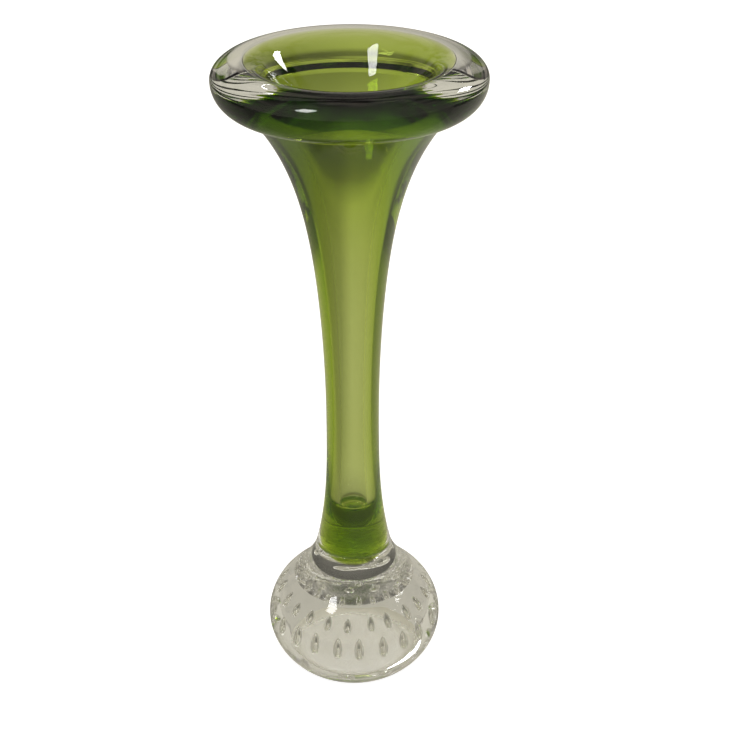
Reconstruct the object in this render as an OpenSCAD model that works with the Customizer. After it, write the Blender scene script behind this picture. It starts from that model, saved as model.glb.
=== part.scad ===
// Hand blown bud vase: a green cored trumpet stem on a clear controlled-bubble ball foot.
// Every node is one gather of glass, and neighbouring gathers share their hot-fused face.
// Origin at the middle of the ground foot, +Z up the axis, millimetres.

/* [Overall] */
// Height from the ground foot to the crest of the lip
total_h = 200; // [190:1:210]

/* [Rolled lip] */
// Outer diameter of the lip
lip_d = 76.6; // [72:0.2:80]
// Radial width of the roll
lip_w = 15.2; // [13.6:0.2:16.4]
// Height of the crest above the widest line of the roll
lip_rise = 5.3; // [4.5:0.1:6.5]
// Depth of the roll below its widest line
lip_drop = 8.1; // [7:0.1:9]
// Angle round the roll, from its outer side, at which the green edge meets the crest
green_edge_angle = 102; // [96:1:112]
// Angle round the roll at which the throat runs into it
throat_angle = 149; // [140:1:155]

/* [Stem] */
// Outer diameter at the waist, the thinnest place
waist_d = 16; // [15:0.2:18]
// Height of the waist
waist_z = 88; // [84:1:94]
// Outer radius at the kink where the trumpet meets the roll
trumpet_r = 29.4; // [28:0.2:30.4]
// Swell of the outer radius from the waist down to the weld with the foot
neck_swell = 3.55; // [2.8:0.05:4]

/* [Bore] */
// Bore diameter at the waist
bore_d = 7; // [6:0.2:7.6]
// Bore diameter just above its floor
bore_end_d = 8.8; // [8:0.2:9.4]
// Height of the bore's floor
bore_floor_z = 57; // [54:0.5:62]
// Radius of the corner between the bore and its floor
bore_corner_r = 2.6; // [1:0.2:3.6]

/* [Green core] */
// Outer diameter of the green glass at the waist
core_d = 10; // [9.4:0.2:10.8]
// Outer radius of the green glass at the height of the kink
core_top_r = 22.6; // [21:0.2:24]
// Outer diameter of the green plug's round end
core_end_d = 13.6; // [12.4:0.2:14.6]
// Height of the lowest point of the plug
core_floor_z = 36; // [35:0.5:39]

/* [Ball foot] */
// Widest diameter of the ball
ball_d = 54.4; // [50:0.2:58]
// Height of the ball's widest line
ball_z = 17; // [16:0.5:18]
// Half height of the ball's oval
ball_rise = 21.4; // [20.4:0.2:22.4]
// Height at which the ball leaves its oval for the hollow of the neck
shoulder_z = 31; // [29:0.5:32]
// Height of the weld between foot and stem
weld_z = 44; // [43:0.5:46]
// Radius of the round stem end that sits in the foot
weld_ball_r = 10.3; // [9.8:0.1:10.6]
// Depth of the ground arris round the flat
arris = 0.5; // [0.3:0.1:0.8]
// Thickness of the clear gather over the pricked gather
casing_t = 1.4; // [1.2:0.1:2.6]
// Height of the pricked gather's lowest point
pricked_floor_z = 2.6; // [2:0.2:4]

/* [Air bubbles] */
// Bubbles in each ring
columns = 22; // [18:1:24]
// Angle of the lowest ring up the pricked gather from its widest line
ring_low = 7; // [5:1:10]
// Angle from one ring up to the next
ring_step = 21; // [19:1:22]
// Width of a prick at the gather's surface
prick_w = 2.4; // [1.6:0.1:2.6]
// Depth of a prick
prick_depth = 2.4; // [1.6:0.1:2.8]
// Angle of the first bubble about the axis, from +X
ring_phase = -85; // [-180:1:180]

/* [Hidden] */
$fn = 96;
ring_count = 3;
flare_power = 6;
outer_share = 0.49;
throat_share = 0.336;
core_share = 0.39;
core_rounding = 1.6;
stem_steps = 26;
neck_steps = 8;
arc_steps = 10;
ball_steps = 20;
clear_of = 5;
lip_r = lip_d / 2 - lip_w / 2;
lip_z = total_h - lip_rise;
kink_z = lip_z - lip_drop * sqrt(1 - pow((lip_r - trumpet_r) / (lip_w / 2), 2));
ball_r = ball_d / 2;
pricked_r = ball_r - casing_t;
pricked_rise = ball_rise - casing_t;
throat_end = lip_point(throat_angle);
green_edge = lip_point(green_edge_angle);
core_end_r = core_end_d / 2;
core_end_z = core_floor_z + core_end_r;
bore_end_z = bore_floor_z + bore_corner_r;

// A point on the roll's oval section, q degrees round from its outer side
function lip_point(q) = [
    lip_r + lip_w / 2 * cos(q),
    lip_z + (sin(q) > 0 ? lip_rise : lip_drop) * sin(q)
];
// Rise of a trumpet curve from 0 to 1, gentle first and steep at the mouth
function flare(t, share) = share * t * t + (1 - share) * pow(t, flare_power);
// Outer radius of the stem, above and below the waist
function outer_r(z) = z > waist_z
    ? waist_d / 2 + (trumpet_r - waist_d / 2) * flare((z - waist_z) / (kink_z - waist_z), outer_share)
    : waist_d / 2 + neck_swell * pow((waist_z - z) / (waist_z - weld_z), 3);
// Radius of the bore, above and below the waist
function bore_r(z) = z > waist_z
    ? bore_d / 2 + (throat_end.x - bore_d / 2) *
        flare((z - waist_z) / (throat_end.y - waist_z), throat_share)
    : (bore_d + (bore_end_d - bore_d) * pow((waist_z - z) / (waist_z - bore_end_z), 2)) / 2;
// Outer radius of the green glass: in the roll, along the trumpet and below the waist
function core_r(z) = z > kink_z
    ? green_edge.x - (green_edge.x - core_top_r) *
        pow(max(0, (green_edge.y - z) / (green_edge.y - kink_z)), core_rounding)
    : z > waist_z
    ? core_d / 2 + (core_top_r - core_d / 2) * flare((z - waist_z) / (kink_z - waist_z), core_share)
    : (core_d + (core_end_d - core_d) * pow((waist_z - z) / (waist_z - core_end_z), 2)) / 2;
// Heights spread evenly from low to high
function heights(low, high, n) = [for (i = [0:n]) low + (high - low) * i / n];
// A point on an oval about the axis, e degrees up from its widest line
function oval(r, rise, z, e) = [r * cos(e), z + rise * sin(e)];
// Where two lines meet, each given by a point and a direction
function crossing(p, d, q, e) =
    p + d * ((q.x - p.x) * e.y - (q.y - p.y) * e.x) / (d.x * e.y - d.y * e.x);
// A point on the curved hollow from p to r that leaves and arrives along its lines to q
function hollow(p, q, r, t) = p * pow(1 - t, 2) + q * 2 * t * (1 - t) + r * t * t;

shoulder_angle = asin((shoulder_z - ball_z) / ball_rise);
shoulder = oval(ball_r, ball_rise, ball_z, shoulder_angle);
shoulder_run = [-ball_r * sin(shoulder_angle), ball_rise * cos(shoulder_angle)];
weld = [outer_r(weld_z), weld_z];
weld_run = [3 * neck_swell / (waist_z - weld_z), -1];
neck_corner = crossing(shoulder, shoulder_run, weld, weld_run);
foot_angle = asin((arris - ball_z) / ball_rise);
ground = oval(ball_r, ball_rise, ball_z, foot_angle);

ball_outline = [
    for (i = [0:ball_steps])
        oval(ball_r, ball_rise, ball_z, foot_angle + (shoulder_angle - foot_angle) * i / ball_steps)
];
neck_outline = [for (i = [1:neck_steps]) hollow(shoulder, neck_corner, weld, i / neck_steps)];
weld_outline = [
    for (i = [0:arc_steps]) oval(weld_ball_r, weld_ball_r, weld_z, 90 * i / arc_steps - 90)
];
core_base = [
    for (i = [0:arc_steps]) oval(core_end_r, core_end_r, core_end_z, 90 * i / arc_steps - 90)
];
core_side = [
    for (z = heights(core_end_z, waist_z, neck_steps)) [core_r(z), z],
    for (z = heights(waist_z, kink_z, stem_steps)) [core_r(z), z],
    for (z = heights(kink_z, green_edge.y, neck_steps)) [core_r(z), z]
];
bore_side = [
    for (z = heights(bore_end_z, waist_z, neck_steps)) [bore_r(z), z],
    for (z = heights(waist_z, throat_end.y, stem_steps)) [bore_r(z), z]
];
bore_corner = [
    for (i = [0:arc_steps / 2])
        [bore_end_d / 2 - bore_corner_r, bore_end_z] +
            bore_corner_r * [sin(180 * i / arc_steps), -cos(180 * i / arc_steps)]
];

// The outline's points with neighbours closer than a hundredth of a millimetre left out
function tidy(p) = [for (i = [0:len(p) - 1]) if (i == 0 || norm(p[i] - p[i - 1]) > 0.01) p[i]];
// The same points from last to first
function backwards(p) = [for (i = [len(p) - 1:-1:0]) p[i]];

module turned(outline) {
    rotate_extrude() polygon(tidy(outline));
}

// The space that the green core and its bore take out of the clear glass, open past the crest
module core_space() {
    turned([each core_base, each core_side, green_edge + [0, clear_of], [0, total_h + clear_of]]);
}

// The whole roll of the lip, before the green core is taken out of it
module lip_ring() {
    turned([for (i = [0:4 * arc_steps - 1]) lip_point(90 * i / arc_steps)]);
}

// The round end of the stem that sits in the foot
module weld_ball() {
    turned([each weld_outline, [weld_ball_r, weld_z + clear_of], [0, weld_z + clear_of]]);
}

// The pricked gather's full oval, flatter below than above
module pricked_oval() {
    turned([
        for (i = [-arc_steps:arc_steps])
            oval(pricked_r, i < 0 ? ball_z - pricked_floor_z : pricked_rise, ball_z, 90 * i / arc_steps)
    ]);
}

// One prick of the pin mould: a cone w across at the gather's surface, its point depth inside
module prick(w, depth) {
    translate([0, 0, -depth])
        cylinder(h = 2 * depth, r1 = 0, r2 = w);
}

// Rings of pricks over the gather's surface, each ring half a step round from the last
module prick_rings() {
    for (k = [0:ring_count - 1]) {
        e = ring_low + k * ring_step;
        place = oval(pricked_r, pricked_rise, ball_z, e);
        for (i = [0:columns - 1]) {
            rotate([0, 0, ring_phase + 360 / columns * (i + k / 2)])
                translate([place.x, 0, place.y])
                rotate([0, 90 - atan2(pricked_r * sin(e), pricked_rise * cos(e)), 0])
                prick(prick_w, prick_depth);
        }
    }
}

// Green bubble of glass: solid round plug below, bore above, lining of the mouth to the crest
module green_core() {
    color([0.45, 0.6, 0.12, 0.85])
        turned([
            each core_base,
            each core_side,
            for (i = [1:arc_steps])
                lip_point(green_edge_angle + (throat_angle - green_edge_angle) * i / arc_steps),
            each backwards(bore_side),
            each backwards(bore_corner),
            [0, bore_floor_z]
        ]);
}

// Clear gather over the green core, from its round end in the foot to the underside of the roll
module stem_casing() {
    color([0.88, 0.9, 0.84, 0.35])
        difference() {
            turned([
                each weld_outline,
                weld,
                for (z = heights(weld_z, waist_z, neck_steps)) [outer_r(z), z],
                for (z = heights(waist_z, kink_z, stem_steps)) [outer_r(z), z],
                [lip_r, lip_z],
                [0, lip_z]
            ]);
            lip_ring();
            core_space();
        }
}

// Thick clear roll round the mouth
module rim_roll() {
    color([0.9, 0.91, 0.86, 0.35])
        difference() {
            lip_ring();
            core_space();
        }
}

// Inner gather of the foot, its surface pricked all round to trap the air
module pricked_gather() {
    color([0.84, 0.83, 0.76, 0.35])
        difference() {
            pricked_oval();
            weld_ball();
            prick_rings();
        }
}

// Outer gather of the foot: the ball's skin, the neck's hollow and the ground flat
module foot_casing() {
    color([0.86, 0.85, 0.79, 0.35])
        difference() {
            turned([[0, 0], [ground.x - arris, 0], each ball_outline, each neck_outline, [0, weld_z]]);
            pricked_oval();
            weld_ball();
        }
}

green_core();
stem_casing();
rim_roll();
pricked_gather();
foot_casing();
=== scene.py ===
"""Hand blown bud vase: a green cored trumpet stem on a clear ball foot with rings of trapped air.

The vase is built gather by gather, as a glass blower makes it. Each gather is one closed mesh. Its skin
faces bend light as glass does, and its fused faces, where it meets the next gather, show nothing.
"""

import logging
import math
import random
from dataclasses import dataclass, field
from enum import Enum
from typing import Callable, Dict, List, Sequence, Tuple

import bpy
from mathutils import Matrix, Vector


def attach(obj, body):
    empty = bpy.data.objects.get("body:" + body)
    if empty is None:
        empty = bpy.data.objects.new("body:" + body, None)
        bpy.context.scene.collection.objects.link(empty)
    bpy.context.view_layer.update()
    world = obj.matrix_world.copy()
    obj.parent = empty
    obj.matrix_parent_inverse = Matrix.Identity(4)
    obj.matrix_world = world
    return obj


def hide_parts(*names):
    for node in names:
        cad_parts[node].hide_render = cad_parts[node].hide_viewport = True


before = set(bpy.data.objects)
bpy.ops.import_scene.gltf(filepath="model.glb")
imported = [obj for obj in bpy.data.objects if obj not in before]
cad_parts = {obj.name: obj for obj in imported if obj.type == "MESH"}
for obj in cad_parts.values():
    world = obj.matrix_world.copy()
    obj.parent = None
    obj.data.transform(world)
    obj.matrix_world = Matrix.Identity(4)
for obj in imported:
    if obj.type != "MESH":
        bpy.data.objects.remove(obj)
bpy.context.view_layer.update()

LOG = logging.getLogger("vase")
BODY = "root"
MM = 0.001  # one millimetre, in metres
POINT_GAP = 0.004  # points of an outline that are nearer than this are one, in millimetres
MERGE_GAP = 0.002  # corners of a mesh that are nearer than this are merged, in millimetres
Point = Tuple[float, float]
Outline = List[Point]
Stop = Tuple[float, float]
Colour = Tuple[float, float, float]
ColourStop = Tuple[float, Colour]


class Face(Enum):
    """What a face of a gather is: its open skin, a place fused to the next gather, or the ground flat."""

    SKIN = "skin"
    FUSED = "fused"
    GROUND = "ground"


# ---------------------------------------------------------------- sizes


@dataclass(frozen=True)
class VaseShape:
    """The driving sizes of the vase in millimetres, and the curves that follow from them.

    Every curve gives a radius from the axis at a height above the ground foot.
    """

    height: float = 200.0
    lip_diameter: float = 76.6
    lip_width: float = 15.2
    lip_rise: float = 5.3
    lip_drop: float = 8.1
    green_edge_angle: float = 102.0
    throat_angle: float = 149.0
    waist_diameter: float = 16.0
    waist_height: float = 88.0
    kink_radius: float = 29.4
    neck_swell: float = 3.55
    bore_diameter: float = 7.0
    bore_end_diameter: float = 8.8
    bore_floor: float = 57.0
    bore_corner: float = 2.6
    core_diameter: float = 10.0
    core_end_diameter: float = 13.6
    core_floor: float = 36.0
    ball_diameter: float = 54.4
    ball_height: float = 17.0
    ball_rise: float = 21.4
    shoulder_height: float = 31.0
    weld_height: float = 44.0
    weld_ball_radius: float = 10.3
    arris: float = 0.5
    casing_thickness: float = 1.4
    pricked_floor: float = 2.6
    outer_share: float = 0.49
    throat_share: float = 0.336
    core_top_radius: float = 22.6
    core_share: float = 0.39
    core_rounding: float = 1.6
    flare_power: float = 6.0

    @property
    def lip_radius(self) -> float:
        """Radius of the circle that the roll's section runs along."""
        return (self.lip_diameter - self.lip_width) / 2

    @property
    def lip_height(self) -> float:
        """Height of the roll's widest line."""
        return self.height - self.lip_rise

    @property
    def kink_angle(self) -> float:
        """Angle round the roll, in degrees, at which the trumpet meets it from below."""
        return -math.degrees(math.acos((self.kink_radius - self.lip_radius) * 2 / self.lip_width))

    @property
    def core_end(self) -> Point:
        """Radius of the green glass's round end, and the height of its middle."""
        radius = self.core_end_diameter / 2
        return (radius, self.core_floor + radius)

    def lip_point(self, angle: float) -> Point:
        """A point on the roll's oval section.

        Args:
            angle: degrees round the section from its outer side, upwards.

        Returns:
            The radius and the height of the point.
        """
        turn = math.radians(angle)
        half = self.lip_rise if math.sin(turn) > 0 else self.lip_drop
        radius = self.lip_radius + self.lip_width / 2 * math.cos(turn)
        return (radius, self.lip_height + half * math.sin(turn))

    def lip_share(self, radius: float, height: float) -> float:
        """How far a place lies from the middle of the roll's section: 1 on its skin."""
        half = self.lip_rise if height > self.lip_height else self.lip_drop
        return math.hypot((radius - self.lip_radius) * 2 / self.lip_width, (height - self.lip_height) / half)

    def flare(self, t: float, share: float) -> float:
        """Rise of a trumpet curve from 0 to 1, gentle first and steep at the mouth."""
        return share * t * t + (1 - share) * t ** self.flare_power

    def outer(self, z: float) -> float:
        """Outer radius of the stem.

        Args:
            z: a height above the ground foot.

        Returns:
            The radius there.
        """
        waist = self.waist_diameter / 2
        if z > self.waist_height:
            kink = self.lip_point(self.kink_angle)[1]
            t = (z - self.waist_height) / (kink - self.waist_height)
            return waist + (self.kink_radius - waist) * self.flare(t, self.outer_share)
        t = (self.waist_height - z) / (self.waist_height - self.weld_height)
        return waist + self.neck_swell * t ** 3

    def bore(self, z: float) -> float:
        """Radius of the bore.

        Args:
            z: a height above the ground foot.

        Returns:
            The radius there.
        """
        waist = self.bore_diameter / 2
        if z > self.waist_height:
            end = self.lip_point(self.throat_angle)
            t = (z - self.waist_height) / (end[1] - self.waist_height)
            return waist + (end[0] - waist) * self.flare(t, self.throat_share)
        t = (self.waist_height - z) / (self.waist_height - self.bore_floor - self.bore_corner)
        return waist + (self.bore_end_diameter / 2 - waist) * t * t

    def core(self, z: float) -> float:
        """Outer radius of the green glass.

        Args:
            z: a height above the ground foot.

        Returns:
            The radius there.
        """
        waist = self.core_diameter / 2
        kink = self.lip_point(self.kink_angle)[1]
        if z > kink:
            edge = self.lip_point(self.green_edge_angle)
            left = max((edge[1] - z) / (edge[1] - kink), 0.0)
            return edge[0] - (edge[0] - self.core_top_radius) * left ** self.core_rounding
        if z > self.waist_height:
            t = (z - self.waist_height) / (kink - self.waist_height)
            return waist + (self.core_top_radius - waist) * self.flare(t, self.core_share)
        end_radius, end_height = self.core_end
        t = (self.waist_height - z) / (self.waist_height - end_height)
        return waist + (end_radius - waist) * t * t

    def under_roll(self) -> Outline:
        """Where the roll sits on the stem.

        Returns:
            Points from the kink in to the green glass.
        """
        places = []
        for angle in spread(self.kink_angle, self.kink_angle - 90, 60):
            radius, height = self.lip_point(angle)
            if radius < self.core(height):
                break
            places.append((radius, height))
        return places

    def ball(self, angle: float, inset: float = 0.0) -> Point:
        """A point on the ball's oval, or on one that lies inside it.

        Args:
            angle: degrees up from the ball's widest line.
            inset: how far inside the ball the oval lies.

        Returns:
            The radius and the height of the point.
        """
        turn = math.radians(angle)
        return (
            (self.ball_diameter / 2 - inset) * math.cos(turn),
            self.ball_height + (self.ball_rise - inset) * math.sin(turn),
        )


def spread(low: float, high: float, steps: int) -> List[float]:
    """Values spread evenly from low to high, both ends included."""
    return [low + (high - low) * i / steps for i in range(steps + 1)]


def arc(radius: float, height: float, low: float, high: float, steps: int) -> Outline:
    """Points on a circle about a point of the axis.

    Args:
        radius: the circle's radius.
        height: the height of its middle.
        low: first angle in degrees, up from level.
        high: last angle.
        steps: how many steps to take between them.

    Returns:
        The points, from the first angle to the last.
    """
    turns = [math.radians(a) for a in spread(low, high, steps)]
    return [(radius * math.cos(a), height + radius * math.sin(a)) for a in turns]


def hollow(start: Point, pull: Point, end: Point, steps: int) -> Outline:
    """Points on a smooth hollow curve that leaves and arrives along its lines to one point.

    Args:
        start: where the curve leaves.
        pull: the point that both end lines run to.
        end: where it arrives.
        steps: how many steps to take.

    Returns:
        The points, from start to end.
    """
    places = []
    for t in spread(0.0, 1.0, steps):
        a, b, c = (1 - t) ** 2, 2 * t * (1 - t), t * t
        places.append((a * start[0] + b * pull[0] + c * end[0], a * start[1] + b * pull[1] + c * end[1]))
    return places


def crossing(p: Point, d: Point, q: Point, e: Point) -> Point:
    """Where two lines meet.

    Args:
        p: a point of the first line.
        d: the first line's direction.
        q: a point of the second line.
        e: the second line's direction.

    Returns:
        The point on both.
    """
    k = ((q[0] - p[0]) * e[1] - (q[1] - p[1]) * e[0]) / (d[0] * e[1] - d[1] * e[0])
    return (p[0] + d[0] * k, p[1] + d[1] * k)


def without_repeats(outline: Outline) -> Outline:
    """Drops the points that lie on the one before.

    Args:
        outline: the points.

    Returns:
        Those that are left.
    """
    kept = [outline[0]]
    for point in outline[1:]:
        if math.dist(point, kept[-1]) > POINT_GAP:
            kept.append(point)
    return kept


# ---------------------------------------------------------------- finishes


def hand_work_group() -> bpy.types.NodeTree:
    """Builds the shared effect of hand worked glass: long waves from the tools, short ripples from cooling.

    Returns:
        The group. It puts out the surface's height, from 0 to 1.
    """
    group = bpy.data.node_groups.new("hand_work", "ShaderNodeTree")
    for name in ("Wave Scale", "Ripple Scale", "Ripple Share", "Stretch"):
        group.interface.new_socket(name=name, in_out="INPUT", socket_type="NodeSocketFloat")
    group.interface.new_socket(name="Height", in_out="OUTPUT", socket_type="NodeSocketFloat")
    nodes, links = group.nodes, group.links
    values, result = nodes.new("NodeGroupInput"), nodes.new("NodeGroupOutput")
    place, parts = nodes.new("ShaderNodeTexCoord"), nodes.new("ShaderNodeSeparateXYZ")
    lengthened, drawn = nodes.new("ShaderNodeMath"), nodes.new("ShaderNodeCombineXYZ")
    lengthened.operation = "MULTIPLY"
    links.new(place.outputs["Object"], parts.inputs["Vector"])
    links.new(parts.outputs["X"], drawn.inputs["X"])
    links.new(parts.outputs["Y"], drawn.inputs["Y"])
    links.new(parts.outputs["Z"], lengthened.inputs[0])
    links.new(values.outputs["Stretch"], lengthened.inputs[1])
    links.new(lengthened.outputs["Value"], drawn.inputs["Z"])
    heights = []
    for scale in ("Wave Scale", "Ripple Scale"):
        noise = nodes.new("ShaderNodeTexNoise")
        noise.inputs["Detail"].default_value = 1.0
        links.new(drawn.outputs["Vector"], noise.inputs["Vector"])
        links.new(values.outputs[scale], noise.inputs["Scale"])
        heights.append(noise.outputs["Fac"])
    blend = nodes.new("ShaderNodeMix")
    links.new(values.outputs["Ripple Share"], blend.inputs["Factor"])
    links.new(heights[0], blend.inputs["A"])
    links.new(heights[1], blend.inputs["B"])
    links.new(blend.outputs["Result"], result.inputs["Height"])
    return group


@dataclass(frozen=True)
class Unevenness:
    """How uneven a worked surface is: waves and ripples per metre, and their depth in metres.

    The ripple share is how much of the height is ripples. A stretch under 1 draws the waves out upwards.
    """

    wave_scale: float = 40.0
    ripple_scale: float = 160.0
    ripple_share: float = 0.2
    stretch: float = 0.35
    depth: float = 0.00006

    def add(self, material: bpy.types.Material) -> None:
        """Leads the waves to the material's Normal through a Bump node.

        Args:
            material: the material, with its Principled BSDF.
        """
        nodes, links = material.node_tree.nodes, material.node_tree.links
        waves, bump = nodes.new("ShaderNodeGroup"), nodes.new("ShaderNodeBump")
        waves.node_tree = bpy.data.node_groups.get("hand_work") or hand_work_group()
        values = (self.wave_scale, self.ripple_scale, self.ripple_share, self.stretch)
        for socket, value in zip(waves.inputs, values):
            socket.default_value = value
        bump.inputs["Distance"].default_value = self.depth
        links.new(waves.outputs["Height"], bump.inputs["Height"])
        links.new(bump.outputs["Normal"], nodes["Principled BSDF"].inputs["Normal"])


@dataclass(frozen=True)
class Glass:
    """Solid glass with a fire polished skin."""

    name: str = "glass"
    ior: float = 1.5
    roughness: float = 0.0
    tint: Colour = (1.0, 1.0, 1.0)
    unevenness: Unevenness = Unevenness()

    def make(self) -> bpy.types.Material:
        """Builds the material.

        Returns:
            The material.
        """
        material = bpy.data.materials.new(self.name)
        material.use_nodes = True
        glass = material.node_tree.nodes["Principled BSDF"]
        glass.inputs["Base Color"].default_value = (*self.tint, 1)
        glass.inputs["Roughness"].default_value = self.roughness
        glass.inputs["IOR"].default_value = self.ior
        glass.inputs["Transmission Weight"].default_value = 1.0
        self.unevenness.add(material)
        return material


@dataclass(frozen=True)
class ClearGlass(Glass):
    """Fire polished clear glass, with the faint unevenness of hand work."""

    name: str = "clear_glass"


@dataclass(frozen=True)
class AirGlass(Glass):
    """The wall of a trapped bubble of air, drawn smooth by the heat. Its tint, a shade darker than the skin,
    is painted shade: it darkens the bubbles in place of the dim light that their walls mirror.
    """

    name: str = "air_glass"
    # painted shade: this tint darkens the bubbles, standing in for the dim light that their walls mirror
    tint: Colour = (0.9, 0.9, 0.86)
    unevenness: Unevenness = Unevenness(wave_scale=300.0, ripple_scale=700.0, stretch=1.0, depth=0.00002)


@dataclass(frozen=True)
class GroundGlass(Glass):
    """The ground flat under the foot: clear glass with a fine matte grain. Its warm grey tint is painted
    shade, which dims the light that comes through the flat.
    """

    name: str = "ground_glass"
    roughness: float = 0.9
    # painted shade: this warm grey tint dims the flat, which the lamps light through its grain
    tint: Colour = (0.72, 0.70, 0.58)
    unevenness: Unevenness = Unevenness(
        wave_scale=900.0, ripple_scale=4000.0, ripple_share=0.6, stretch=1.0, depth=0.00004
    )


@dataclass(frozen=True)
class GreenGlass(Glass):
    """Transparent green glass: its colour deepens with its thickness."""

    name: str = "green_glass"
    colour: Colour = (0.70, 0.80, 0.015)
    density: float = 460.0
    unevenness: Unevenness = Unevenness(wave_scale=55.0, ripple_scale=220.0, depth=0.00008)

    def make(self) -> bpy.types.Material:
        """Builds the material.

        Returns:
            The material.
        """
        material = super().make()
        nodes, links = material.node_tree.nodes, material.node_tree.links
        skin = nodes.new("ShaderNodeAttribute")
        skin.attribute_name = "skin"
        links.new(skin.outputs["Fac"], nodes["Principled BSDF"].inputs["Alpha"])
        depth = nodes.new("ShaderNodeVolumeAbsorption")
        depth.inputs["Color"].default_value = (*self.colour, 1)
        depth.inputs["Density"].default_value = self.density
        links.new(depth.outputs["Volume"], nodes["Material Output"].inputs["Volume"])
        return material


@dataclass(frozen=True)
class FusedFace:
    """The face between two gathers, which can't be seen."""

    name: str = "fused_face"

    def make(self) -> bpy.types.Material:
        """Builds the material.

        Returns:
            The material.
        """
        material = bpy.data.materials.new(self.name)
        material.use_nodes = True
        material.node_tree.nodes["Principled BSDF"].inputs["Alpha"].default_value = 0.0
        return material


# ---------------------------------------------------------------- modelling with operators


def deselect_all() -> None:
    """Leaves nothing selected, in object mode."""
    if bpy.context.mode != "OBJECT":
        bpy.ops.object.mode_set(mode="OBJECT")
    bpy.ops.object.select_all(action="DESELECT")


def turn(name: str, outline: Outline, segments: int) -> bpy.types.Object:
    """Turns a closed outline about the axis, as on a lathe.

    A single point is drawn out along the outline, and the drawn line is spun round.

    Args:
        name: the new object's name.
        outline: radius and height of each point in millimetres, both ends on the axis or the same.
        segments: how many steps a full turn takes.

    Returns:
        The turned object, its faces pointing outwards.
    """
    deselect_all()
    points = [Vector((r * MM, 0.0, z * MM)) for r, z in without_repeats(outline)]
    bpy.ops.mesh.primitive_plane_add(size=MM, location=points[0])
    piece = bpy.context.object
    piece.name = piece.data.name = name
    bpy.ops.object.mode_set(mode="EDIT")
    bpy.ops.mesh.select_all(action="SELECT")
    bpy.ops.mesh.merge(type="CENTER")
    for here, there in zip(points, points[1:]):
        bpy.ops.mesh.extrude_region_move(TRANSFORM_OT_translate={"value": there - here})
    bpy.ops.mesh.select_all(action="SELECT")
    bpy.ops.mesh.spin(steps=segments, angle=2 * math.pi, center=(0, 0, 0), axis=(0, 0, 1))
    bpy.ops.mesh.select_all(action="SELECT")
    bpy.ops.mesh.remove_doubles(threshold=MERGE_GAP * MM)
    bpy.ops.mesh.normals_make_consistent(inside=False)
    bpy.ops.object.mode_set(mode="OBJECT")
    bpy.ops.object.transform_apply(location=True, rotation=True, scale=True)
    bpy.ops.object.shade_smooth()
    return piece


def mark_faces(piece: bpy.types.Object, kind_of: Callable[[Vector], Face], slots: Dict[Face, int]) -> None:
    """Gives each face its material and its value in the skin attribute, which is 0 where it is fused.

    Args:
        piece: the object, with its materials.
        kind_of: says what a face is from its middle, in millimetres.
        slots: the material slot for each kind of face.
    """
    values = []
    for face in piece.data.polygons:
        kind = kind_of(face.center / MM)
        values.append(0.0 if kind is Face.FUSED else 1.0)
        face.material_index = slots[kind]
    piece.data.attributes.new("skin", "FLOAT", "FACE").data.foreach_set("value", values)


# ---------------------------------------------------------------- gathers


@dataclass
class Gather:
    """One gather of glass.

    It has its mesh's name, the node that it stands for, and the finish of each kind of face.
    """

    shape: VaseShape
    finishes: Dict[str, bpy.types.Material]
    name: str = ""
    node: str = ""
    slot: str = "clear_glass"
    faces: Tuple[Tuple[Face, str], ...] = ((Face.SKIN, "clear_glass"), (Face.FUSED, "fused_face"))
    segments: int = 192
    piece: bpy.types.Object = field(default=None, init=False)

    def outline(self) -> Outline:
        """The gather's closed outline, as the radius and height of each point."""
        raise NotImplementedError

    def kind_of(self, at: Vector) -> Face:
        """What the face with its middle at this place, in millimetres, is."""
        raise NotImplementedError

    def build(self) -> None:
        """Makes the mesh."""
        self.piece = turn(self.name, self.outline(), self.segments)

    def dress(self) -> None:
        """Gives the mesh its finish and its place in the assembly."""
        self.paint(self.piece, self.kind_of)
        self.place()

    def paint(self, piece: bpy.types.Object, kind_of: Callable[[Vector], Face]) -> None:
        """Gives each face of a mesh the finish for its kind.

        Args:
            piece: the object that the mesh is in.
            kind_of: says what a face is from its middle, in millimetres.
        """
        piece.data.materials.clear()
        slots = {}
        for kind, finish in self.faces:
            if self.finishes[finish].name not in piece.data.materials:
                piece.data.materials.append(self.finishes[finish])
            slots[kind] = piece.data.materials.find(self.finishes[finish].name)
        mark_faces(piece, kind_of, slots)

    def place(self) -> None:
        """Puts the finished gather in the assembly, in place of its node."""
        self.piece.visible_shadow = False
        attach(self.piece, BODY)
        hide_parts(self.node)
        LOG.info("%s: %d faces", self.piece.name, len(self.piece.data.polygons))


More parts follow.
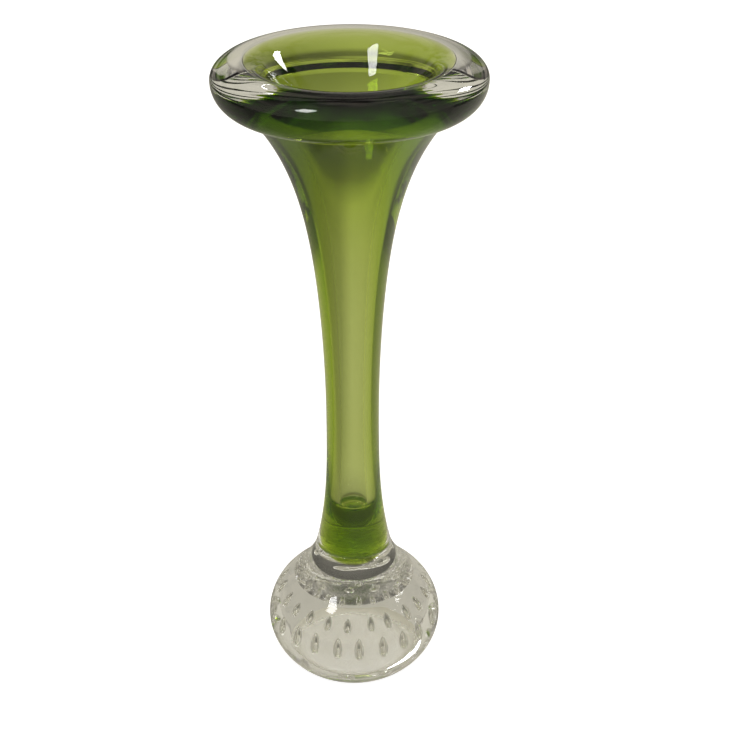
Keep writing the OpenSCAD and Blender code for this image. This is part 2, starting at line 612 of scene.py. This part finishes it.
@dataclass
class GreenCore(Gather):
    """The green bubble of glass: round plug below, bore above, lining of the mouth to the crest.

    Its outside is inset a little, so that no face lies on another gather's.
    """

    name: str = "green_bubble"
    node: str = "green_core"
    slot: str = "green_glass"
    faces: Tuple[Tuple[Face, str], ...] = ((Face.SKIN, "green_glass"), (Face.FUSED, "green_glass"))
    inset: float = 0.03
    skin_share: float = 0.99
    floor_margin: float = 0.01

    def outline(self) -> Outline:
        """The core's closed outline.

        Returns:
            The radius and height of each point.
        """
        s = self.shape
        end_radius, end_height = s.core_end
        edge = s.lip_point(s.green_edge_angle)
        throat = s.lip_point(s.throat_angle)
        side = [(s.core(z), z) for z in spread(end_height, s.waist_height, 24)]
        side += [(s.core(z), z) for z in spread(s.waist_height, edge[1], 90)]
        side = arc(end_radius, end_height, -90, 0, 24) + side
        side = [(max(r - self.inset, 0.0), z) for r, z in side[:-1]] + [side[-1]]
        crest = [s.lip_point(a) for a in spread(s.green_edge_angle, s.throat_angle, 24)]
        bore_foot = s.bore_floor + s.bore_corner
        bore = [(s.bore(z), z) for z in spread(throat[1], s.waist_height, 90)]
        bore += [(s.bore(z), z) for z in spread(s.waist_height, bore_foot, 20)]
        middle = s.bore_end_diameter / 2 - s.bore_corner
        corner = [(middle + r, z) for r, z in arc(s.bore_corner, bore_foot, 0, -90, 10)]
        floor = [(r, s.bore_floor) for r in spread(middle, 0.0, 4)]
        return side + crest + bore + corner + floor

    def kind_of(self, at: Vector) -> Face:
        """What a face is.

        Args:
            at: its middle, in millimetres.

        Returns:
            Its kind.
        """
        s = self.shape
        radius = math.hypot(at.x, at.y)
        if at.z < s.bore_floor - self.floor_margin:
            return Face.FUSED
        if at.z > s.lip_point(s.throat_angle)[1]:
            return Face.SKIN if s.lip_share(radius, at.z) > self.skin_share else Face.FUSED
        return Face.SKIN if radius < (s.core(at.z) + s.bore(at.z)) / 2 else Face.FUSED


@dataclass
class StemCasing(Gather):
    """The clear gather over the green core, up to the underside of the roll."""

    name: str = "stem_gather"
    node: str = "stem_casing"
    skin_depth: float = 0.15

    def outline(self) -> Outline:
        """The casing's closed outline.

        Returns:
            The radius and height of each point.
        """
        s = self.shape
        kink = s.lip_point(s.kink_angle)
        outer = arc(s.weld_ball_radius, s.weld_height, -90, 0, 16)
        outer += [(s.outer(z), z) for z in spread(s.weld_height, s.waist_height, 40)]
        outer += [(s.outer(z), z) for z in spread(s.waist_height, kink[1], 100)]
        under = s.under_roll()
        end_radius, end_height = s.core_end
        inner = [(s.core(z), z) for z in spread(under[-1][1], s.waist_height, 40)]
        inner += [(s.core(z), z) for z in spread(s.waist_height, end_height, 16)]
        inner += arc(end_radius, end_height, 0, -90, 12)
        return outer + under + inner

    def kind_of(self, at: Vector) -> Face:
        """What a face is.

        Args:
            at: its middle, in millimetres.

        Returns:
            Its kind.
        """
        s = self.shape
        on_stem = s.weld_height < at.z < s.lip_point(s.kink_angle)[1]
        outside = on_stem and math.hypot(at.x, at.y) > s.outer(at.z) - self.skin_depth
        return Face.SKIN if outside else Face.FUSED


@dataclass
class RimRoll(Gather):
    """The thick clear roll round the mouth."""

    name: str = "lip_roll"
    node: str = "rim_roll"
    segments: int = 288
    skin_share: float = 0.995
    crest_depth: float = 0.1

    def outline(self) -> Outline:
        """The roll's closed outline.

        Returns:
            The radius and height of each point.
        """
        s = self.shape
        skin = [s.lip_point(a) for a in spread(s.kink_angle, s.green_edge_angle, 110)]
        under = s.under_roll()
        edge = s.lip_point(s.green_edge_angle)
        inner = [(s.core(z), z) for z in spread(edge[1], under[-1][1], 24)]
        return skin + inner + under[::-1]

    def kind_of(self, at: Vector) -> Face:
        """What a face is.

        Args:
            at: its middle, in millimetres.

        Returns:
            Its kind.
        """
        s = self.shape
        radius = math.hypot(at.x, at.y)
        outside = s.lip_share(radius, at.z) > self.skin_share
        off_green = radius > s.core(min(at.z, s.height - self.crest_depth))
        under = at.z < s.lip_height and radius < s.kink_radius
        return Face.SKIN if outside and off_green and not under else Face.FUSED


@dataclass
class PrickedGather(Gather):
    """The inner gather of the foot, with the rings of air that its pricks trapped.

    Each ring's bubbles are narrower and shorter than those of the ring below. Their middles lie at one depth
    under the ball's skin. Angles are in degrees.
    """

    name: str = "bubble_gather"
    node: str = "pricked_gather"
    faces: Tuple[Tuple[Face, str], ...] = ((Face.SKIN, "air_glass"), (Face.FUSED, "fused_face"))
    columns: int = 22
    rings: int = 3
    first_angle: float = 7.0
    ring_step: float = 21.0
    phase: float = -85.0
    depth: float = 2.8
    bubble_width: float = 3.3
    bubble_length: float = 6.9
    narrowing: float = 0.83
    shortening: float = 0.72
    point: float = 0.4
    bubble_segments: int = 20
    angle_play: float = 0.7
    turn_play: float = 1.4
    length_play: float = 0.105
    seed: int = 7

    def outline(self) -> Outline:
        """The gather's closed outline.

        Returns:
            The radius and height of each point.
        """
        s = self.shape
        inset = s.casing_thickness
        flatness = (s.ball_height - s.pricked_floor) / (s.ball_rise - inset)
        low = [s.ball(a, inset) for a in spread(-90, 0, 20)]
        low = [(r, s.ball_height + (z - s.ball_height) * flatness) for r, z in low]
        high = [s.ball(a, inset) for a in spread(0, 90, 60)]
        cup = arc(s.weld_ball_radius, s.weld_height, -90, 0, 40)
        kept = [p for p in high if math.dist(p, (0.0, s.weld_height)) > s.weld_ball_radius]
        dish = [p for p in cup if p[0] < kept[-1][0] and p[1] < kept[-1][1]]
        return low + kept + dish[::-1]

    def kind_of(self, at: Vector) -> Face:
        """Every face of the gather itself is fused, as only its bubbles' walls meet air."""
        return Face.FUSED

    def build_bubble(self, ring: int) -> bpy.types.Object:
        """Makes one bubble at the origin: round below and drawn to a point above.

        Args:
            ring: the ring that the bubble is for, 0 for the lowest.

        Returns:
            The bubble, its faces pointing into the air.
        """
        width = self.bubble_width * self.narrowing ** ring
        length = self.bubble_length * self.shortening ** ring
        outline = []
        for angle in spread(180, 0, self.bubble_segments):
            t = math.radians(angle)
            swell = math.sin(t) * math.sin(t / 2) ** self.point
            outline.append((width / 2 * swell, length / 2 * math.cos(t)))
        outline[0], outline[-1] = (0.0, -length / 2), (0.0, length / 2)
        bubble = turn("bubble", outline, self.bubble_segments)
        bpy.ops.object.mode_set(mode="EDIT")
        bpy.ops.mesh.select_all(action="SELECT")
        bpy.ops.mesh.flip_normals()
        bpy.ops.object.mode_set(mode="OBJECT")
        return bubble

    def build(self) -> None:
        """Makes the gather and sets its rings of bubbles under its outer face.

        The lowest ring's bubbles are wide enough to reach just through that face, which shows nothing.
        """
        super().build()
        self.paint(self.piece, self.kind_of)
        seeds = random.Random(self.seed)
        bubbles = []
        for ring in range(self.rings):
            first = self.build_bubble(ring)
            for column in range(self.columns):
                bubble = first if column == self.columns - 1 else first.copy()
                if bubble is not first:
                    bubble.data = first.data.copy()
                    bpy.context.collection.objects.link(bubble)
                self.set_bubble(bubble, ring, column, seeds)
                bubbles.append(bubble)
        deselect_all()
        for bubble in bubbles:
            bubble.select_set(True)
        bpy.context.view_layer.objects.active = bubbles[0]
        bpy.ops.object.transform_apply(location=True, rotation=True, scale=True)
        bpy.ops.object.join()
        air = bpy.context.object
        self.paint(air, lambda at: Face.SKIN)
        self.piece.select_set(True)
        bpy.context.view_layer.objects.active = self.piece
        bpy.ops.object.join()

    def set_bubble(self, bubble: bpy.types.Object, ring: int, column: int, seeds: random.Random) -> None:
        """Sets one bubble in its ring, leaning with the gather's surface.

        Args:
            bubble: the bubble, at the origin.
            ring: its ring, 0 for the lowest.
            column: its place round the ring.
            seeds: the source of the small unevenness of hand work.
        """
        s = self.shape
        angle = self.first_angle + self.ring_step * ring + seeds.uniform(-1, 1) * self.angle_play
        radius, height = s.ball(angle, self.depth)
        turned = math.radians(angle)
        across = (s.ball_diameter / 2 - self.depth) * math.sin(turned)
        up = (s.ball_rise - self.depth) * math.cos(turned)
        lean = math.atan2(across, up)
        place = self.phase + 360 / self.columns * (column + ring / 2)
        around = math.radians(place + seeds.uniform(-1, 1) * self.turn_play)
        bubble.rotation_mode = "XYZ"
        bubble.rotation_euler = (0.0, -lean, around)
        bubble.location = (radius * math.cos(around) * MM, radius * math.sin(around) * MM, height * MM)
        bubble.scale = (1.0, 1.0, 1 + seeds.uniform(-1, 1) * self.length_play)

    def dress(self) -> None:
        """Puts the gather in the assembly, as its faces had their finish when it was built."""
        self.place()


@dataclass
class FootCasing(Gather):
    """The outer gather of the foot: the ball's skin, the neck's hollow and the ground flat."""

    name: str = "foot_gather"
    node: str = "foot_casing"
    faces: Tuple[Tuple[Face, str], ...] = (
        (Face.SKIN, "clear_glass"),
        (Face.FUSED, "fused_face"),
        (Face.GROUND, "ground_glass"),
    )
    weld_clearance: float = 0.05
    weld_margin: float = 0.001

    def outline(self) -> Outline:
        """The casing's closed outline.

        Returns:
            The radius and height of each point.
        """
        s = self.shape
        ball_radius = s.ball_diameter / 2
        ground = math.degrees(math.asin((s.arris - s.ball_height) / s.ball_rise))
        shoulder = math.degrees(math.asin((s.shoulder_height - s.ball_height) / s.ball_rise))
        skin = [s.ball(a) for a in spread(ground, shoulder, 90)]
        edge = skin[0][0] - s.arris
        flat = [(r, 0.0) for r in spread(0.0, edge, 12)]
        turned = math.radians(shoulder)
        run = (-ball_radius * math.sin(turned), s.ball_rise * math.cos(turned))
        weld = (s.outer(s.weld_height), s.weld_height)
        # The stem's own slope at the weld
        weld_run = (3 * s.neck_swell / (s.waist_height - s.weld_height), -1.0)
        neck = hollow(skin[-1], crossing(skin[-1], run, weld, weld_run), weld, 40)
        inner = PrickedGather(s, self.finishes).outline()
        top = max(inner, key=lambda p: p[1])
        side = inner[: inner.index(top) + 1]
        cup = [p for p in arc(s.weld_ball_radius, s.weld_height, 0, -90, 40) if p[1] > top[1]]
        return flat + skin + neck + cup + side[::-1]

    def kind_of(self, at: Vector) -> Face:
        """What a face is.

        Args:
            at: its middle, in millimetres.

        Returns:
            Its kind.
        """
        s = self.shape
        radius = math.hypot(at.x, at.y)
        if at.z < s.arris:
            return Face.GROUND
        if at.z > s.shoulder_height:
            below_weld = at.z < s.weld_height - self.weld_margin
            on_neck = below_weld and radius > s.weld_ball_radius + self.weld_clearance
            return Face.SKIN if on_neck else Face.FUSED
        inset = s.casing_thickness / 2
        across = radius / (s.ball_diameter / 2 - inset)
        up = (at.z - s.ball_height) / (s.ball_rise - inset)
        return Face.SKIN if math.hypot(across, up) > 1.0 else Face.FUSED


# ---------------------------------------------------------------- studio


def ramp(nodes: bpy.types.Nodes, stops: Sequence[ColourStop]) -> bpy.types.Node:
    """Adds a colour ramp.

    Args:
        nodes: where it goes.
        stops: each stop's place and colour.

    Returns:
        The node.
    """
    node = nodes.new("ShaderNodeValToRGB")
    elements = node.color_ramp.elements
    elements[0].position, elements[1].position = stops[0][0], stops[-1][0]
    for position, _ in stops[1:-1]:
        elements.new(position)
    for element, (_, colour) in zip(elements, stops):
        element.color = (*colour, 1)
    return node


def levels(stops: Sequence[Stop], tint: Colour = (1.0, 1.0, 1.0)) -> List[ColourStop]:
    """Ramp stops of one tint at several brightnesses."""
    return [(place, tuple(level * part for part in tint)) for place, level in stops]


@dataclass(frozen=True)
class ColourMix:
    """The sockets of a node that mixes two colours."""

    factor: bpy.types.NodeSocket
    first: bpy.types.NodeSocket
    second: bpy.types.NodeSocket
    result: bpy.types.NodeSocket

    @classmethod
    def add(cls, nodes: bpy.types.Nodes, kind: str = "MIX") -> "ColourMix":
        """Adds the node.

        Args:
            nodes: where it goes.
            kind: how it blends, all of the second colour unless the factor is linked.

        Returns:
            Its sockets for colours.
        """
        node = nodes.new("ShaderNodeMix")
        node.data_type, node.blend_type = "RGBA", kind
        node.inputs[0].default_value = 1.0
        return cls(node.inputs[0], node.inputs[6], node.inputs[7], node.outputs[2])


@dataclass(frozen=True)
class SoftBox:
    """A soft lamp that faces the vase.

    Its place, size and aim are in metres and its power is in watts. One that isn't seen through glass
    still shows in mirrored light.
    """

    name: str
    place: Tuple[float, float, float]
    size: Tuple[float, float]
    power: float
    through_glass: bool = True
    aim: Tuple[float, float, float] = (0.0, 0.0, 0.1)

    def hang(self) -> None:
        """Adds the lamp."""
        light = bpy.data.lights.new(self.name, "AREA")
        light.shape = "RECTANGLE"
        light.size, light.size_y = self.size
        light.energy = self.power
        lamp = bpy.data.objects.new(self.name, light)
        lamp.location = self.place
        lamp.rotation_euler = (Vector(self.aim) - Vector(self.place)).to_track_quat("-Z", "Y").to_euler()
        lamp.visible_transmission = self.through_glass
        bpy.context.collection.objects.link(lamp)


@dataclass(frozen=True)
class Studio:
    """A pale floor, soft light and a camera that looks down on the vase.

    What the glass bends into view is a dimmer, warmer room than the pale backdrop behind it: a front wall
    and a back wall with soft bands, and a floor with painted shade in place of the vase's own, as the glass
    casts none. Lengths are in metres. The floor's shade goes by the distance from the axis, and the walls'
    light by height, from straight down at 0 to straight up at 1.
    """

    camera_distance: float = 0.5
    camera_height: float = 0.1023
    camera_pitch: float = 28.0
    camera_aside: float = 0.0068
    camera_roll: float = -0.1
    lens: float = 80.2
    sensor_width: float = 36.0
    floor_size: float = 6.0
    floor_drop: float = 0.0002
    floor_glow: float = 0.7
    floor_seen: Colour = (0.57, 0.545, 0.45)
    open_floor: float = 0.8
    shade: Tuple[Stop, ...] = (
        (0.0, 0.8),
        (0.028, 0.8),
        (0.035, 0.13),
        (0.042, 0.13),
        (0.046, 0.5),
        (0.05, 0.28),
        (0.058, 0.28),
        (0.076, 0.6),
        (0.12, 1.0),
        (0.6, 1.0),
        (0.85, 0.45),
        (1.0, 0.35),
    )
    shade_edge: Tuple[float, float] = (-0.006, 0.012)
    sideways: Tuple[Stop, ...] = ((0.0, 0.55), (0.3, 0.6), (0.5, 1.0), (1.0, 1.0))
    sideways_reach: Tuple[float, float] = (-0.3, 0.3)
    front: Tuple[Stop, ...] = ((0.0, 1.0), (0.9, 1.0), (1.0, 0.85))
    front_tint: Colour = (0.61, 0.585, 0.485)
    back: Tuple[Stop, ...] = ((0.0, 0.5), (0.5, 0.45), (0.63, 0.34), (0.79, 0.28), (0.93, 0.4), (1.0, 0.5))
    wall_edge: Tuple[float, float] = (-0.2, 0.25)
    bands: Tuple[ColourStop, ...] = (
        (0.0, (0.15, 0.14, 0.13)),
        (0.42, (0.3, 0.27, 0.23)),
        (0.5, (1.0, 0.95, 0.9)),
        (0.58, (1.6, 1.45, 1.2)),
        (1.0, (1.9, 1.7, 1.4)),
    )
    band_scale: float = 3.2
    band_height: float = 3.0
    lamps: Tuple[SoftBox, ...] = (
        SoftBox("ceiling", (-0.84, -0.80, 1.65), (0.34, 0.55), 8.0),
        SoftBox("side", (0.85, 0.60, 0.8), (0.2, 0.25), 3.5, through_glass=False),
    )
    bounces: int = 48
    glossy_bounces: int = 16
    clear_bounces: int = 64

    def floor(self) -> None:
        """Lays the floor just under the foot."""
        deselect_all()
        bpy.ops.mesh.primitive_plane_add(size=self.floor_size, location=(0, 0, -self.floor_drop))
        floor = bpy.context.object
        floor.name = "floor"
        material = bpy.data.materials.new("floor")
        material.use_nodes = True
        nodes, links = material.node_tree.nodes, material.node_tree.links
        nodes.clear()
        direct, bent = nodes.new("ShaderNodeAddShader"), nodes.new("ShaderNodeEmission")
        glow, matte = nodes.new("ShaderNodeEmission"), nodes.new("ShaderNodeBsdfDiffuse")
        glow.inputs["Strength"].default_value = self.floor_glow
        links.new(glow.outputs[0], direct.inputs[0])
        links.new(matte.outputs[0], direct.inputs[1])
        links.new(self.shaded(nodes, links), bent.inputs["Color"])
        self.split(nodes, links, bent, direct, nodes.new("ShaderNodeOutputMaterial"))
        floor.data.materials.append(material)

    def shaded(self, nodes: bpy.types.Nodes, links: bpy.types.NodeLinks) -> bpy.types.NodeSocket:
        """Shades the floor behind the vase, far away and to one side.

        Args:
            nodes: where the shade's nodes go.
            links: the links between them.

        Returns:
            The colour's socket.
        """
        place, away = nodes.new("ShaderNodeTexCoord"), nodes.new("ShaderNodeVectorMath")
        parts = nodes.new("ShaderNodeSeparateXYZ")
        away.operation = "LENGTH"
        links.new(place.outputs["Object"], away.inputs[0])
        links.new(place.outputs["Object"], parts.inputs["Vector"])
        shade = ramp(nodes, levels(self.shade, self.floor_seen))
        links.new(away.outputs["Value"], shade.inputs["Fac"])
        sides = ramp(nodes, levels(self.sideways))
        across = self.share_of(nodes, links, parts.outputs["X"], self.sideways_reach)
        links.new(across, sides.inputs["Fac"])
        cast = ColourMix.add(nodes)
        cast.first.default_value = (*(part * self.open_floor for part in self.floor_seen), 1)
        links.new(self.share_of(nodes, links, parts.outputs["Y"], self.shade_edge), cast.factor)
        links.new(shade.outputs["Color"], cast.second)
        product = ColourMix.add(nodes, "MULTIPLY")
        links.new(cast.result, product.first)
        links.new(sides.outputs["Color"], product.second)
        return product.result

    def share_of(
        self,
        nodes: bpy.types.Nodes,
        links: bpy.types.NodeLinks,
        value: bpy.types.NodeSocket,
        reach: Tuple[float, float],
    ) -> bpy.types.NodeSocket:
        """Turns a value into its share of a reach, from 0 to 1.

        Args:
            nodes: where the node goes.
            links: the links between them.
            value: the value's socket.
            reach: the values that give 0 and 1.

        Returns:
            The share's socket.
        """
        share = nodes.new("ShaderNodeMapRange")
        share.inputs["From Min"].default_value, share.inputs["From Max"].default_value = reach
        links.new(value, share.inputs["Value"])
        return share.outputs["Result"]

    def split(
        self,
        nodes: bpy.types.Nodes,
        links: bpy.types.NodeLinks,
        bent: bpy.types.Node,
        direct: bpy.types.Node,
        output: bpy.types.Node,
    ) -> None:
        """Shows one shader to rays straight from the camera, and another to those that the glass bends.

        Args:
            nodes: where the nodes go.
            links: the links between them.
            bent: the shader that the glass bends into view.
            direct: the shader that the camera sees.
            output: the node that takes both.
        """
        path, mix = nodes.new("ShaderNodeLightPath"), nodes.new("ShaderNodeMixShader")
        links.new(path.outputs["Is Camera Ray"], mix.inputs["Fac"])
        links.new(bent.outputs[0], mix.inputs[1])
        links.new(direct.outputs[0], mix.inputs[2])
        links.new(mix.outputs[0], output.inputs["Surface"])

    def world(self) -> None:
        """Sets the soft light that comes from all round."""
        world = bpy.data.worlds.new("studio")
        bpy.context.scene.world = world
        world.use_nodes = True
        nodes, links = world.node_tree.nodes, world.node_tree.links
        nodes.clear()
        bent, direct = nodes.new("ShaderNodeBackground"), nodes.new("ShaderNodeBackground")
        direct.inputs["Color"].default_value = (1, 1, 1, 1)
        links.new(self.room(nodes, links), bent.inputs["Color"])
        self.split(nodes, links, bent, direct, nodes.new("ShaderNodeOutputWorld"))

    def room(self, nodes: bpy.types.Nodes, links: bpy.types.NodeLinks) -> bpy.types.NodeSocket:
        """Colours the room's two walls.

        Args:
            nodes: where the room's nodes go.
            links: the links between them.

        Returns:
            The colour's socket.
        """
        place, parts = nodes.new("ShaderNodeTexCoord"), nodes.new("ShaderNodeSeparateXYZ")
        links.new(place.outputs["Generated"], parts.inputs["Vector"])
        height = self.share_of(nodes, links, parts.outputs["Z"], (-1.0, 1.0))
        front = ramp(nodes, levels(self.front, self.front_tint))
        back = ramp(nodes, levels(self.back))
        links.new(height, front.inputs["Fac"])
        links.new(height, back.inputs["Fac"])
        tall, noise = nodes.new("ShaderNodeMapping"), nodes.new("ShaderNodeTexNoise")
        tall.inputs["Scale"].default_value[2] = self.band_height
        noise.inputs["Scale"].default_value = self.band_scale
        links.new(place.outputs["Generated"], tall.inputs["Vector"])
        links.new(tall.outputs["Vector"], noise.inputs["Vector"])
        bands = ramp(nodes, self.bands)
        links.new(noise.outputs["Fac"], bands.inputs["Fac"])
        banded = ColourMix.add(nodes, "MULTIPLY")
        links.new(back.outputs["Color"], banded.first)
        links.new(bands.outputs["Color"], banded.second)
        walls = ColourMix.add(nodes)
        links.new(self.share_of(nodes, links, parts.outputs["Y"], self.wall_edge), walls.factor)
        links.new(front.outputs["Color"], walls.first)
        links.new(banded.result, walls.second)
        return walls.result

    def camera(self) -> None:
        """Sets up the camera."""
        data = bpy.data.cameras.new("camera")
        data.lens = self.lens
        data.sensor_width = self.sensor_width
        camera = bpy.data.objects.new("camera", data)
        down = math.radians(self.camera_pitch)
        camera.location = (
            self.camera_aside,
            -self.camera_distance * math.cos(down),
            self.camera_height + self.camera_distance * math.sin(down),
        )
        camera.rotation_euler = (math.radians(90) - down, 0.0, 0.0)
        camera.rotation_euler.rotate_axis("Z", math.radians(self.camera_roll))
        bpy.context.collection.objects.link(camera)
        bpy.context.scene.camera = camera

    def build(self) -> None:
        """Sets up the whole studio."""
        self.camera()
        self.floor()
        self.world()
        for lamp in self.lamps:
            lamp.hang()
        scene = bpy.context.scene
        scene.view_settings.view_transform = "Standard"
        scene.cycles.caustics_reflective = False
        scene.cycles.caustics_refractive = False
        scene.cycles.max_bounces = self.bounces
        scene.cycles.transmission_bounces = self.bounces
        scene.cycles.glossy_bounces = self.glossy_bounces
        scene.cycles.transparent_max_bounces = self.clear_bounces


def main() -> None:
    """Builds the studio and the vase, gather by gather."""
    logging.basicConfig(level=logging.INFO, format="%(name)s: %(message)s")
    Studio().build()
    shape = VaseShape()
    finishes = {}
    for finish in (ClearGlass(), AirGlass(), GroundGlass(), GreenGlass(), FusedFace()):
        finishes[finish.name] = finish.make()
    for kind in (GreenCore, StemCasing, RimRoll, PrickedGather, FootCasing):
        gather = kind(shape, finishes)
        gather.build()
        gather.dress()


if __name__ == "__main__":
    main()
